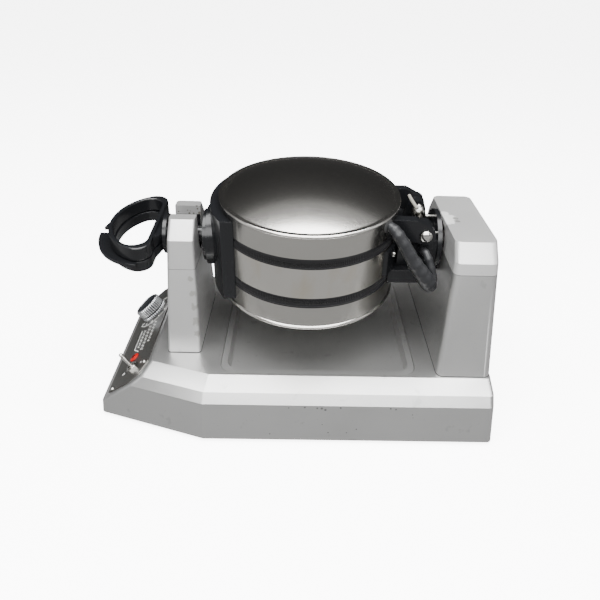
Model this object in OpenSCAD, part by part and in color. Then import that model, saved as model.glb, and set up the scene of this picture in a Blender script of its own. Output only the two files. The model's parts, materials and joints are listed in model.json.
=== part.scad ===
// Rotating double waffle maker. A cast base carries a narrow forked post at the front and a wide
// hollow post at the back. Between them a round baking head, two waffle chambers deep, turns over
// about a horizontal axis. Millimetres: the front is -Y, the head turns about an axis along Y, and
// the feet stand on z = 0 under the head's centre.

/* [Base] */
// Half the width of the base at its lower edge
base_hw = 144; // [140:0.5:148]
// Back edge of the base, behind the head's centre
base_back = 215; // [214:0.5:220]
// Front edge of the base, in front of the head's centre
base_front = 242; // [240:0.5:246]
// Half the width of the base at its front edge
front_hw = 101.5; // [100:0.5:104]
// Where the sides begin to taper, in front of the head's centre
taper_at = 116; // [112:1:120]
// How far the feet hold the base off the counter
foot_h = 4; // [3:0.5:6]
// Metal thickness of the castings
cast_t = 4; // [3.5:0.5:5]
// Slope of the control panel
panel_angle = 40; // [38:0.5:42]

/* [Drip tray] */
// Half the length of the recess, across the base
recess_hx = 108.5; // [104:0.5:109]
// Depth of the recess
recess_d = 10; // [8:0.5:14]
// Corner radius of the recess
recess_r = 18; // [12:1:24]

/* [Head] */
// Height of the axis that the head turns on
axis_z = 193; // [191:0.5:197]
// How far the head rests turned from level
head_tilt = 4.5; // [0:0.5:6]
// Radius of the stainless bands
band_r = 103; // [102:0.25:103.5]
// Half the height of the middle band
mid_h = 18.6; // [18:0.1:20]
// Height of the dark grid edges between two bands
grid_h = 12.5; // [12:0.1:14]
// Height of a cover's side, up to its rolled rim
cover_h = 27; // [26:0.5:30]
// Radius of the rolled rim
rim_r = 105; // [104:0.25:106]
// Height of the crown above the rim
crown_h = 20; // [14:1:24]
// Sheet thickness of bands and covers
sheet_t = 1.2; // [1:0.1:1.6]
// Waffle pocket spacing
pocket_p = 19; // [17:0.5:22]

/* [Hinge and handle] */
// Lid hinge pin, behind the head's centre
pin_y = 131; // [130:0.5:132]
// Lid hinge pin, above the middle plane
pin_z = 30; // [29:0.5:31]
// Lower lid's hinge pin, behind the head's centre
low_pin_y = 134; // [133:0.5:135]
// Lower lid's hinge pin, below the middle plane
low_pin_z = 26; // [25:0.5:27]
// Radius of the round hub that turns in the fork
neck_r = 11; // [10:0.25:11.5]
// Half the width of the handle loop
loop_hw = 68; // [62:1:70]
// How far the handle loop reaches in front of its straight side
loop_reach = 54; // [50:1:60]
// Height of the upper loop
loop_h = 17.5; // [15:0.5:20]

/* [Knob] */
// Radius of the browning knob
knob_r = 18; // [16:0.5:20]
// Height of the browning knob
knob_h = 18; // [15:0.5:20]
// Number of flutes around the knob
knob_flutes = 36; // [24:2:48]

/* [Hidden] */
$fn = 64;
eps = 0.02;

// Levels of the base
lip_z = foot_h + 15;
skirt_z = foot_h + 47.3;
crease_z = foot_h + 58.5;
deck_z = foot_h + 66.2;
taper_k = (base_hw - front_hw) / (base_front - taper_at);
recess_y0 = -99.5;
recess_y1 = 127;

// Posts: foot, seam, shoulder and top levels
shoulder_f = axis_z + 12;
top_f = axis_z + 31;
seam_f = axis_z - 21;
shoulder_r = axis_z + 10;
top_r = axis_z + 29.5;
seam_r = axis_z - 3;
slot_hw = neck_r + 2;
liner_t = 1.6;
saddle_drop = 5.5;

// Levels inside the head, above its middle plane
split_z = mid_h + grid_h / 2;
cover_z = mid_h + grid_h;
rim_z = cover_z + cover_h;
floor_z = split_z + 11;
plate_t = 4;
stud_h = 7.6;
seam_gap = 0.25;
bracket_z = cover_z + 19.4;
bracket_out = 115;
bracket_hx = 61;

// Levels along the axis
collar_y = -119.5;
neck_end = -171;
loop_y = -177;
flange_y = 149;
shaft_end = 196;
shaft_r = 14;

// Control panel, in its own plane: x across, y up the slope, z away from it
knob_at = [-45, 48];
lamp_at = [51.5, 40.5];
switch_at = [76.5, 46.5];
panel_t = 1.2;

// Where a wire conduit leaves a cover: turn from +X and height
conduit_turn = 54.5;
conduit_z = 50;

// Route of a wire conduit, from a cover's side to the hinge block, as [x, y, z, radius]
conduit_route = [[58.1, 81.4, 50, 4.6], [61.9, 86.2, 50.4, 5], [66.5, 91, 48.6, 6.2],
    [70, 96.5, 42.5, 6.8], [72, 104, 31, 7.2], [73, 112.5, 16.5, 7.8], [73, 121, 4, 8.5],
    [72.3, 128, -6, 9.1], [70.6, 134, -15, 9.2], [67.6, 138.3, -21.5, 8.2], [65.2, 140.2, -21, 6.4],
    [63.8, 140.6, -11, 5], [60.5, 136, 3.5, 4.7], [55.5, 132, 12.5, 4.4], [48.5, 131.6, 10, 4.3],
    [41, 132, 7, 4.3], [35.3, 132, 6, 4.3]];

paint = "silver";
steel = "gainsboro";
black = "#1c1c1e";
brass = "#c8a850";

// ---------- shared shapes ----------

function front_y(z) = -base_front + max(0, z - lip_z) / tan(panel_angle);
function side_x(y, d) = min(base_hw - d, base_hw - taper_k * (-taper_at - y) - d * norm([1, taper_k]));

// Corners of the base at height z, pulled in by d at the sides, e at the back and f at the front
function base_points(z, d, e, f) =
    let (yf = front_y(z) + f)
    let (yt = -taper_at + d * (norm([1, taper_k]) - 1) / taper_k)
    let (half = [[side_x(yf, d), yf], [base_hw - d, yt], [base_hw - d, base_back - e]])
    concat(half, [for (i = [2:-1:0]) [-half[i][0], half[i][1]]]);

module outline(z, d, e, f = 0, r = 6) translate([0, 0, z]) linear_extrude(eps)
    offset(r = r, $fn = 24) offset(delta = -r) polygon(base_points(z, d, e, f));

// Box with round upright edges: x from -hx to hx, y from y0 to y1
module round_box(hx, y0, y1, h, r) {
    for (y = [y0 + r, y1 - r]) for (x = [-hx + r, hx - r]) translate([x, y, 0]) cylinder(h, r = r);
    translate([-hx + r, y0, 0]) cube([2 * (hx - r), y1 - y0, h]);
    translate([-hx, y0 + r, 0]) cube([2 * hx, y1 - y0 - 2 * r, h]);
}

module on_panel(at = [0, 0]) {
    translate([0, -base_front, lip_z]) rotate([panel_angle, 0, 0]) translate([at[0], at[1], 0]) children();
}

// The head's own frame, its middle plane at z = 0
module in_head() { translate([0, 0, axis_z]) rotate([0, head_tilt, 0]) children(); }

module along_y(y0, y1, r, r2 = undef) {
    translate([0, y0, 0]) rotate([-90, 0, 0]) cylinder(y1 - y0, r1 = r, r2 = is_undef(r2) ? r : r2);
}

module along_x(x0, x1, r) { translate([x0, 0, 0]) rotate([0, 90, 0]) cylinder(x1 - x0, r = r); }

module ring(r_out, r_in, h) {
    difference() {
        cylinder(h, r = r_out);
        translate([0, 0, -1]) cylinder(h + 2, r = r_in);
    }
}

// Pan-head screw standing on z = 0, its shank going down
module pan_screw(r_head, h_head, r_shank, l_shank) {
    cylinder(h_head, r1 = r_head, r2 = r_head * 0.75, $fn = 32);
    translate([0, 0, -l_shank]) cylinder(l_shank + eps, r = r_shank, $fn = 32);
}

// ---------- base ----------

function post_x(z) = 71.7 - (z - deck_z) * 0.194;
function post_y0(z) = -164.6 + (z - deck_z) * 0.0268;
function post_y1(z) = -125.6 - (z - deck_z) * 0.0357;
function rear_x(z) = 109.4 - (z - deck_z) * 0.2017;
function rear_y0(z) = 149.8 + (z - deck_z) * 0.071;
function rear_y1(z) = 212 - (z - deck_z) * 0.0295;

// Thin slice of a post at height z
module slice(z, hx, y0, y1, r = 4) {
    translate([0, 0, z]) linear_extrude(eps) offset(r = r, $fn = 20) offset(delta = -r)
        translate([-hx, y0]) square([2 * hx, y1 - y0]);
}

module front_slice(z, t = 0) slice(z, post_x(z) - t, post_y0(z) + t, post_y1(z) - t, 4 - t / 2);

module rear_slice(z) slice(z, rear_x(z), rear_y0(z), rear_y1(z), 8);

module base_housing() color(paint) {
    tub_floor = deck_z - recess_d;
    difference() {
        union() {
            difference() {
                hull() {
                    outline(foot_h, 0, 0);
                    outline(lip_z, 1.2, 1, 1);
                    outline(skirt_z, 3.8, 3, 0);
                    outline(crease_z, 10.7, 3, 0);
                    outline(deck_z - eps, 32.3, 2.6, 0);
                }
                hull() {
                    outline(foot_h - 1, cast_t, cast_t, cast_t);
                    outline(skirt_z - 3, cast_t + 4, cast_t + 3, 1.6 * cast_t);
                    outline(crease_z - 4, cast_t + 11, cast_t + 3, 1.6 * cast_t);
                    outline(deck_z - cast_t, cast_t + 28, cast_t + 3, 1.6 * cast_t);
                }
            }
            translate([0, 0, tub_floor - 3])
                round_box(recess_hx + 3, recess_y0 - 3, recess_y1 + 3, recess_d + 2, recess_r + 3);
            for (p = foot_places) translate([p[0], p[1], foot_h + 2.5]) cylinder(56, r = 6);
        }
        translate([0, 0, tub_floor]) round_box(recess_hx, recess_y0, recess_y1, recess_d + 10, recess_r);
        for (p = foot_places) translate([p[0], p[1], foot_h]) cylinder(20, r = 2.1);
        on_panel(knob_at) translate([0, 0, -20]) cylinder(30, r = 4.5);
        on_panel(lamp_at) translate([0, 0, -20]) cylinder(30, r = 6);
        on_panel(switch_at) translate([0, 0, -20]) cylinder(30, r = 6.1);
        for (p = panel_screw_places) on_panel(p) translate([0, 0, -9]) cylinder(12, r = 1.3);
        for (p = post_screw_places) translate([p[0], p[1], deck_z - 10]) cylinder(20, r = 2.6);
        translate([gland_x, base_back - 12, gland_z]) rotate([-90, 0, 0]) cylinder(20, r = 7);
        for (y = [-146, 180]) translate([0, y, deck_z - 10]) cylinder(20, r = 12);
    }
}

foot_places = [for (x = [-121, 121]) for (y = [-92, 186]) [x, y]];
panel_screw_places = [[93, 17.5], [-93, 17.5], [80.5, 66.5], [-80.5, 66.5]];
post_screw_places = concat([for (x = [-50, 50]) [x, -146]], [for (x = [-80, 80]) [x, 180]]);
gland_x = -70;
gland_z = foot_h + 26;

module bottom_plate() color("dimgray") difference() {
    translate([0, 0, foot_h + 1]) linear_extrude(1.5)
        polygon(base_points(foot_h, cast_t + 2.6, cast_t + 2.6, cast_t + 5.6));
    for (p = foot_places) translate([p[0], p[1], 0]) cylinder(20, r = 2.1);
    for (i = [-5:5]) translate([i * 14 - 2, -20, 0]) cube([4, 60, 20]);
}

module rubber_feet() color("#222222") for (p = foot_places) translate([p[0], p[1], 0]) difference() {
    cylinder(foot_h + 1, r1 = 11, r2 = 12);
    translate([0, 0, -1]) cylinder(3, r = 6);
    cylinder(foot_h + 3, r = 2.2);
}

module foot_screws() color(steel) for (p = foot_places) translate([p[0], p[1], 2])
    rotate([180, 0, 0]) pan_screw(4, 1.6, 2, 18);

module drip_tray() color(steel) {
    tray_h = recess_d - 1.4;
    hx = recess_hx - 0.5;
    y0 = recess_y0 + 0.5;
    y1 = recess_y1 - 0.5;
    translate([0, 0, deck_z - recess_d + 0.1]) difference() {
        union() {
            translate([0, 0, tray_h - 0.2]) round_box(hx, y0, y1, 1.2, recess_r - 0.5);
            tray_hull(0, 0, tray_h + 0.2);
        }
        translate([0, 0, 1]) tray_hull(1, 0, tray_h + 1.2);
    }
}

// Tapered inside of the tray, walls pulled in by t
module tray_hull(t, z, h) {
    hull() for (x = [-1, 1]) for (y = [recess_y0 + 22 + t, recess_y1 - 22 - t])
        translate([x * (recess_hx - 22 - t), y, z]) cylinder(h, r1 = 12, r2 = 16, $fn = 40);
}

// ---------- controls ----------

module control_panel() color("#8e8b84") on_panel() difference() {
    translate([0, 0, 0.05]) linear_extrude(panel_t - 0.05) polygon([[95, 11.5], [105, 47.5],
        [101, 63.5], [84, 74], [-84, 74], [-101, 63.5], [-105, 47.5], [-95, 11.5]]);
    translate([knob_at[0], knob_at[1], -1]) cylinder(4, r = 4.5);
    translate([lamp_at[0], lamp_at[1], -1]) cylinder(4, r = 6);
    translate([switch_at[0], switch_at[1], -1]) cylinder(4, r = 6.1);
    for (p = panel_screw_places) translate([p[0], p[1], -1]) cylinder(4, r = 1.6);
}

module panel_screws() color(steel) for (p = panel_screw_places) on_panel(p)
    translate([0, 0, panel_t]) pan_screw(2.8, 1.4, 1.25, 7);

module thermostat_body() color("#d8d0c0") on_panel(knob_at) {
    translate([-16, -13, -26]) cube([32, 26, 18]);
    translate([0, 0, -8 - eps]) cylinder(panel_t + 19, r = 3);
    translate([0, 0, -8 - eps]) cylinder(2, r = 9);
}

module lamp_lens() color("red") on_panel(lamp_at) translate([0, 0, panel_t]) {
    cylinder(1.2, r = 7);
    translate([0, 0, 1.2 - eps]) cylinder(1.8, r1 = 6, r2 = 4.5);
}

module lamp_body() color("#e8e4da") on_panel(lamp_at) translate([0, 0, -18]) cylinder(18 + panel_t, r = 5.8);

module switch_body() color("#303030") on_panel(switch_at) difference() {
    union() {
        translate([-11, -8, -28]) cube([22, 16, 20]);
        translate([0, 0, -8 - eps]) cylinder(8 + panel_t + 4.4, r = 5.9);
    }
    translate([0, 0, -12]) cylinder(30, r = 3.9);
}

module switch_nut() color(steel) on_panel(switch_at) translate([0, 0, panel_t]) difference() {
    cylinder(2.6, r = 8.4, $fn = 6);
    translate([0, 0, -1]) cylinder(5, r = 5.9);
}

// Bat lever, turning about a pivot just inside the bushing's mouth
switch_pivot_z = panel_t + 1;
module switch_lever() color(steel) on_panel(switch_at) translate([0, 0, switch_pivot_z])
    rotate([0, -10, 0]) {
        sphere(r = 2.6);
        rotate([90, 0, 0]) translate([0, 0, -3.6]) cylinder(7.2, r = 1.2);
        cylinder(20, r1 = 1.5, r2 = 2.5);
        translate([0, 0, 20]) sphere(r = 2.5);
    }

module knob_body() color(steel) on_panel(knob_at) translate([0, 0, panel_t + 0.4]) difference() {
    union() {
        translate([0, 0, 0]) linear_extrude(7.4) fluted(knob_r + 1);
        translate([0, 0, 7]) cylinder(1.8, r = knob_r - 1);
        translate([0, 0, 8.4]) linear_extrude(knob_h - 9.4) fluted(knob_r);
        translate([0, 0, knob_h - 1 - eps]) cylinder(1, r1 = knob_r - 0.6, r2 = knob_r - 1.6);
    }
    translate([0, 0, -1]) cylinder(14, r = 3.05);
    translate([0, 0, knob_h - 1.2]) cylinder(5, r = knob_r - 3);
}

module fluted(r) difference() {
    circle(r);
    for (i = [0:knob_flutes - 1]) rotate(i * 360 / knob_flutes) translate([r + 0.35, 0]) circle(0.9, $fn = 6);
}

module knob_face() color("#26282b") on_panel(knob_at) translate([0, 0, panel_t + 0.4]) {
    translate([0, 0, knob_h - 1.2]) cylinder(0.9, r = knob_r - 3.1);
    translate([-0.8, 3, knob_h - 0.4]) cube([1.6, knob_r - 7, 0.5]);
}

module terminal_block() color("#cfc8b8") translate([-24, 190, foot_h + 5]) difference() {
    cube([48, 14, 14]);
    for (i = [0:3]) translate([6 + i * 12, 7, 5]) cylinder(12, r = 3);
}

module control_board() color("#2f6b45") {
    translate([-40, -60, foot_h + 8]) cube([80, 60, 1.6]);
    for (x = [-30, 6]) translate([x, -48, foot_h + 9.5]) cube([24, 30, 16]);
    for (x = [-37, 37]) for (y = [-57, -3]) translate([x, y, foot_h + 2.5]) cylinder(6, r = 3);
}

module cord_gland() color("#202022") translate([gland_x, 0, gland_z]) difference() {
    union() {
        along_y(base_back - 9, base_back + 4, 6.8);
        along_y(base_back - 0.5, base_back + 1.5, 9.5);
        along_y(base_back - 12, base_back - 7, 9);
    }
    along_y(base_back - 20, base_back + 10, 4);
}

// ---------- posts ----------

module front_post() color(paint) difference() {
    hull() { front_slice(deck_z); front_slice(seam_f - eps); }
    hull() { front_slice(deck_z - 1, 5); front_slice(seam_f - 8, 5); }
    for (x = [-26, 26]) translate([x, -145.6, seam_f - 12]) cylinder(20, r = 2.6);
}

module fork_head() color(paint) difference() {
    union() {
        hull() { front_slice(seam_f + 0.1); front_slice(shoulder_f - eps); }
        hull() {
            front_slice(shoulder_f - eps);
            slice(top_f - eps, 28, post_y0(shoulder_f) + 0.4, post_y1(shoulder_f) - 0.2);
        }
        for (x = [-26, 26]) translate([x, -145.6, seam_f - 12.5]) cylinder(13, r = 2.5);
    }
    translate([0, 0, axis_z - saddle_drop]) along_y(-180, -110, slot_hw);
    translate([-slot_hw, -180, axis_z - saddle_drop]) cube([2 * slot_hw, 70, 60]);
}

module fork_liner() color("#3a3a3c") translate([0, 0, axis_z - saddle_drop]) difference() {
    union() {
        along_y(-160.4, -131, slot_hw - 0.02);
        translate([-slot_hw + 0.02, -160.4, 0]) cube([2 * slot_hw - 0.04, 29.4, 26]);
    }
    along_y(-180, -110, slot_hw - liner_t);
    translate([-slot_hw + liner_t, -180, 0]) cube([2 * (slot_hw - liner_t), 70, 60]);
}

module rear_post() color(paint) difference() {
    hull() { rear_slice(deck_z); rear_slice(seam_r - eps); }
    hull() { rear_cavity(deck_z - 1); rear_cavity(seam_r + 1); }
    translate([0, 0, axis_z]) along_y(140, 175, 24);
    translate([-55, 195, deck_z + 16]) cube([110, 30, 84]);
    for (p = rear_cover_places) rear_face(p) translate([0, 0, -9]) cylinder(12, r = 1.7);
}

// The inside of the rear post: its front wall is upright inside
module rear_cavity(z) {
    slice(z, rear_x(z) - cast_t, 165, rear_y1(z) - cast_t, 3);
}

module rear_post_cap() color(paint) difference() {
    union() {
        hull() { rear_slice(seam_r + 0.15); rear_slice(shoulder_r - eps); }
        hull() {
            rear_slice(shoulder_r - eps);
            slice(top_r - eps, 68, rear_y0(shoulder_r) + 0.6, rear_y1(shoulder_r) - 0.6, 8);
        }
    }
    hull() {
        rear_cavity(seam_r - 1);
        rear_cavity(shoulder_r - 2);
        slice(top_r - 4.5, 62, 165, rear_y1(shoulder_r) - 4.6, 3);
    }
    translate([0, 0, axis_z]) along_y(140, 175, 24);
}

// Stand children on the rear post's sloping back face
module rear_face(p) {
    translate([p[0], rear_y1(p[1]), p[1]]) rotate([atan(0.0295) - 90, 0, 0]) children();
}

rear_cover_places = [for (x = [-62, 62]) for (z = [deck_z + 10, deck_z + 106]) [x, z]];

module rear_cover() color("#9a9a98") difference() {
    rear_face([0, deck_z + 58]) translate([-68, -56, 0.05]) cube([136, 112, 1.5]);
    for (p = rear_cover_places) rear_face(p) translate([0, 0, -2]) cylinder(6, r = 2);
    for (i = [0:6]) translate([-30, 190, deck_z + 40 + 7 * i]) cube([60, 30, 2.6]);
}

module rear_cover_screws() color(steel) for (p = rear_cover_places) rear_face(p)
    translate([0, 0, 1.55]) pan_screw(3.4, 1.6, 1.65, 8);

bearing_screw_angles = [-150, -90, -30];

module bearing_housing() color("#b9b9bb") translate([0, 0, axis_z]) difference() {
    union() {
        intersection() {
            along_y(165.05, 170, 34);
            translate([-40, 150, -40]) cube([80, 40, 61]);
        }
        along_y(165.05, 190, 19.5);
    }
    along_y(150, 200, shaft_r + 0.05);
    for (a = bearing_screw_angles) rotate([0, -a, 0]) translate([29, 0, 0]) along_y(160, 180, 2.1);
}

module bearing_screws() color(steel) translate([0, 0, axis_z]) for (a = bearing_screw_angles)
    rotate([0, -a, 0]) translate([29, 170, 0]) rotate([-90, 0, 0]) pan_screw(3.8, 2.4, 2, 5);

module post_screws() color("dimgray") for (p = post_screw_places)
    translate([p[0], p[1], deck_z - cast_t - 1.2]) rotate([180, 0, 0]) pan_screw(5, 3, 2.5, 8);

// ---------- turning head ----------

module head_shaft() color(steel) in_head() difference() {
    along_y(flange_y + 1, shaft_end, shaft_r);
    along_y(flange_y - 1, shaft_end + 1, 9);
}

module hub_flange() color(black) in_head() difference() {
    union() {
        along_y(flange_y, flange_y + 5, 37);
        along_y(flange_y, 158, 19);
    }
    along_y(flange_y - 1, 160, shaft_r + 0.01);
    for (a = [45:90:315]) rotate([0, a, 0]) translate([29, 0, 0]) along_y(140, 160, 2.6);
}

module shaft_ring() color("#555558") in_head() difference() {
    along_y(190.4, 194.5, 19);
    along_y(180, 200, shaft_r + 0.01);
}

module hinge_block() color(black) in_head() difference() {
    union() {
        translate([-34, 103.5, -16]) cube([68, flange_y - 103.5 - 0.1, 32]);
        for (x = [-34, 22]) translate([x, 0, 0]) {
            ear(pin_y, pin_z);
            mirror([0, 0, 1]) ear(low_pin_y, low_pin_z);
        }
        intersection() {
            translate([0, 0, -16]) ring(107, band_r + 0.15, 32);
            translate([-60, 0, -20]) cube([120, 120, 40]);
        }
    }
    along_y(112, 160, 9);
    for (x = [-60, 8]) translate([x, 132, 6]) along_x(0, 52, 4.5);
    translate([0, pin_y, pin_z]) along_x(-60, 60, 4.05);
    translate([0, low_pin_y, -low_pin_z]) along_x(-60, 60, 4.05);
    for (a = [45:90:315]) rotate([0, a, 0]) translate([29, 0, 0]) along_y(137, 160, 2.05);
    for (x = [-1, 1]) wing_screw(x) along_y(90, 120, 1.8);
}

// An upright ear round a pin, drawn from x = 0 to x = 12
module ear(y, z) {
    translate([0, y, z]) along_x(0, 12, 10.5);
    hull() {
        translate([0, y - 10.5, z - 1]) cube([12, 21, 2]);
        translate([0, pin_y - 18, -2]) cube([12, 34, 4]);
    }
}

module block_screws() color(steel) in_head() {
    for (x = [-1, 1]) wing_screw(x) translate([0, 107.1, 0]) rotate([-90, 0, 0]) pan_screw(3.4, 2, 1.7, 6);
    for (a = [45:90:315]) rotate([0, a, 0]) translate([29, 140, 0]) along_y(0, 13.9, 2);
}

// Place of the screws that hold the hinge block's wings to the middle band
module wing_screw(x) translate([0, 0, 5]) rotate([0, 0, x * -25]) children();

module middle_band() color("#c9c5bb") in_head() difference() {
    translate([0, 0, -mid_h]) ring(band_r, band_r - sheet_t, 2 * mid_h);
    for (x = [-1, 1]) wing_screw(x) along_y(90, 120, 1.8);
}

// A grid plate facing up: dark edge, spigot, floor and studs. Its split plane is at split_z and its
// edge shows below it.
module grid_plate(edge_r) {
    edge_h = grid_h / 2 - seam_gap / 2;
    difference() {
        union() {
            translate([0, 0, split_z - seam_gap / 2 - edge_h]) cylinder(edge_h, r = edge_r);
            translate([0, 0, split_z - 11 - plate_t])
                cylinder(11 + plate_t - edge_h, r = band_r - sheet_t - 0.3);
        }
        translate([0, 0, split_z - 11]) cylinder(20, r = 90);
    }
    for (i = [-4:4]) for (j = [-4:4]) if (norm([i, j]) * pocket_p < 80)
        translate([i * pocket_p - 5.5, j * pocket_p - 5.5, split_z - 11 - eps]) cube([11, 11, stud_h]);
}

module middle_upper_grid() color("#202022") in_head() grid_plate(band_r - 0.9);

module middle_lower_grid() color("#202022") in_head() rotate([0, 180, 0]) grid_plate(band_r - 0.9);

// The same plate hung over the split plane
module lid_plate() translate([0, 0, 2 * split_z]) rotate([0, 180, 0]) grid_plate(band_r - 0.9);

// Rod bent round into a loop, its two ends in insulating sleeves at the back
module heater(z) color("#7a5a4a") translate([0, 0, z]) {
    rotate([0, 0, 98]) rotate_extrude(angle = 344) translate([62, 0]) circle(3.2, $fn = 32);
    for (x = [-8.6, 8.6]) translate([x, 0, 0]) along_y(56, 80, 4.2);
}

mid_back = split_z - 11 - plate_t;
module middle_heaters() in_head() for (s = [-1, 1]) heater(s * (mid_back - 4.25));

module hinge_pins() color(steel) in_head() {
    translate([0, pin_y, pin_z]) along_x(-46.4, 46.4, 4);
    translate([0, low_pin_y, -low_pin_z]) along_x(-46.4, 46.4, 4);
}

module pin_screws() color(steel) in_head() for (x = [-1, 1]) {
    translate([x * 46.5, pin_y, pin_z]) rotate([0, x * 90, 0]) domed_head(7.4);
    translate([x * 46.5, low_pin_y, -low_pin_z]) rotate([0, x * 90, 0]) domed_head(6.2);
}

module domed_head(r) {
    cylinder(1.6, r = r);
    translate([0, 0, 1.6 - eps]) cylinder(3, r1 = r, r2 = r * 0.5);
}

// Coil spring around a pin, with a sleeved leg up to the cover's back
module spring(y, z) color("#a8a8aa") translate([0, y, z]) {
    for (i = [0:4]) translate([-16 + 3.2 * i, 0, 0]) rotate([0, 90, 0]) rotate_extrude()
        translate([6.6, 0]) circle(1.7, $fn = 16);
    translate([-6, -2, 6.4]) rotate([-38, 0, 0]) rotate([0, -44, 0]) cylinder(23, r = 2.6);
}

module top_spring() in_head() spring(pin_y, pin_z);

module bottom_spring() turned() spring(low_pin_y, low_pin_z);

// ---------- lids: drawn as the top lid, the bottom lid is turned over ----------

module turned() { in_head() rotate([0, 180, 0]) children(); }

function crown_z(r) = rim_z + 2.5 + crown_h * (1 - pow(r / (rim_r - 4), 2));

module cover() color(steel) {
    wall = [[band_r - sheet_t, cover_z + 0.15], [band_r, cover_z + 0.15], [rim_r - 1.4, rim_z - 2]];
    outer = [for (i = [0:8]) let (a = -50 + i * 20) [rim_r - 2 + 2 * cos(a), rim_z + 2 * sin(a)]];
    top = [for (i = [0:10]) let (r = (rim_r - 4) * (1 - i / 10)) [r, crown_z(r)]];
    under = [for (i = [10:-1:0]) let (r = (rim_r - 6) * (1 - i / 10)) [r, crown_z(r) - sheet_t - 0.4]];
    difference() {
        rotate_extrude($fn = 96) polygon(concat(wall, outer, top, under, [[rim_r - 3.4, rim_z - 2]]));
        rotate([0, 0, conduit_turn]) translate([0, 0, conduit_z]) along_x(60, 120, 5.6);
    }
}

// Room for a cover's flaring side
module cover_side() translate([0, 0, split_z])
    cylinder(rim_z - 2 - split_z, r1 = band_r - 0.1, r2 = rim_r - 1.3);

module heater_lid() heater(floor_z + plate_t + 4.25);

// Two hinge arms outside the ears, shaped to a cover's side. The plate's top rises from z0 to z1 at
// the cover and slopes down to the boss around the pin at (y, z).
module arms(y, z, z0, z1, boss) color(black) difference() {
    for (x = [-46, 35]) translate([x, 0, 0]) {
        translate([0, y, z]) along_x(0, 11, boss);
        hull() {
            translate([0, 91, z0]) cube([11, 1, z1 - z0]);
            translate([0, y - 13, z0]) cube([11, 1, z1 - z0]);
            translate([0, y - 3, z - boss + 1]) cube([11, 6, 1]);
            translate([0, y + boss * 0.65, z + boss * 0.6]) cube([11, 1, 1]);
        }
    }
    cylinder(cover_z, r = band_r + 0.5);
    cover_side();
    translate([0, 0, rim_z - 3]) cylinder(60, r = rim_r + 0.3);
    translate([0, y, z]) along_x(-60, 60, 4.03);
}

// Curved front wall of a bracket with half of the round collar and half of the neck
module bracket() color(black) difference() {
    union() {
        intersection() {
            translate([0, 0, 0.3]) cylinder(bracket_z - 0.3, r = bracket_out);
            translate([-bracket_hx, -130, 0]) cube([2 * bracket_hx, 70, 80]);
        }
        along_y(collar_y, -108, 35.5);
        along_y(collar_y - 4, -108, 31);
        along_y(neck_end + 1, -108, neck_r - 0.15);
        along_y(neck_end, -166.6, 24);
    }
    translate([0, 0, -1]) cylinder(cover_z + 1, r = band_r + 0.35);
    cover_side();
    translate([-80, -200, -60]) cube([160, 200, 60 + 0.3]);
    along_y(-180, -100, 5);
}

// Plan of the handle loop
module loop_plan(inset) offset(r = 15, $fn = 32) offset(delta = -15 - inset) intersection() {
    translate([0, loop_y - 4]) scale([loop_hw, loop_reach]) circle(1, $fn = 72);
    translate([-100, loop_y - 100]) square([200, 100]);
}

module loop_wall(h, wall) difference() {
    translate([0, 0, 0.3]) linear_extrude(h - 0.3) loop_plan(0);
    translate([0, 0, -1]) linear_extrude(h + 2) loop_plan(wall);
}

// Flared neck between the collar's front flange and the loop's straight side
module handle_neck(h) hull() {
    translate([0, 0, 0.3]) linear_extrude(h - 0.3) translate([-38, loop_y - 3]) square([76, 3]);
    translate([0, 0, 0.3]) linear_extrude(h - 2) translate([-22, neck_end - 0.6]) square([44, 0.5]);
}

module top_handle() color(black) in_head() {
    loop_wall(loop_h, 5.5);
    handle_neck(loop_h - 3);
}

module bottom_handle() color(black) in_head() mirror([0, 0, 1]) {
    loop_wall(13, 6.5);
    handle_neck(12);
    translate([0, 0, 0.3]) linear_extrude(4) difference() {
        translate([0, loop_y - 10]) scale([loop_hw + 3, 62]) circle(1, $fn = 72);
        loop_plan(2);
        translate([-100, loop_y - 14]) square([200, 100]);
        translate([-12, loop_y - 100]) square([13, 50]);
    }
}

module top_cover() in_head() cover();
module top_grid() color("#202022") in_head() lid_plate();
module top_heater() in_head() heater_lid();
module top_arms() in_head() arms(pin_y, pin_z, cover_z - 3, pin_z + 19, 11.5);
module top_bracket() in_head() bracket();
module bottom_cover() turned() cover();
module bottom_grid() color("#202022") turned() lid_plate();
module bottom_heater() turned() heater_lid();
module bottom_arms() turned() arms(low_pin_y, low_pin_z, 16.6, 34, 8.4);
module bottom_bracket() turned() bracket();

// ---------- wire conduits ----------

// Tube through a list of [x, y, z, radius]. Each ring is turned as little as can be from the last.
module tube(route, sides) {
    n = len(route);
    function at(i) = [route[i][0], route[i][1], route[i][2]];
    function way(i) = let (d = at(min(n - 1, i + 1)) - at(max(0, i - 1))) d / norm(d);
    function square_to(v, w) = let (d = v - w * (v * w)) d / norm(d);
    function side(i) = i == 0 ? square_to([0, 0, 1], way(0)) : square_to(side(i - 1), way(i));
    rings = [for (i = [0:n - 1]) let (u = side(i), v = cross(way(i), u)) for (k = [0:sides - 1])
        at(i) + route[i][3] * (cos(k * 360 / sides) * u + sin(k * 360 / sides) * v)];
    walls = [for (i = [0:n - 2]) for (k = [0:sides - 1]) [i * sides + k, (i + 1) * sides + k,
        (i + 1) * sides + (k + 1) % sides, i * sides + (k + 1) % sides]];
    ends = [[for (k = [0:sides - 1]) k], [for (k = [sides - 1:-1:0]) (n - 1) * sides + k]];
    polyhedron(rings, concat(walls, ends), convexity = 6);
}

module top_conduit() color("#2a2c30") in_head() tube(conduit_route, 10);

module bottom_conduit() color("#2a2c30") turned() tube(conduit_route, 10);

module conduit_ferrules() color("#38383a") for (s = [0, 180]) in_head() rotate([0, s, 0])
    translate([0, 132, 6]) difference() {
        along_x(34.02, 38, 7.5);
        along_x(30, 50, 5.2);
    }

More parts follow.
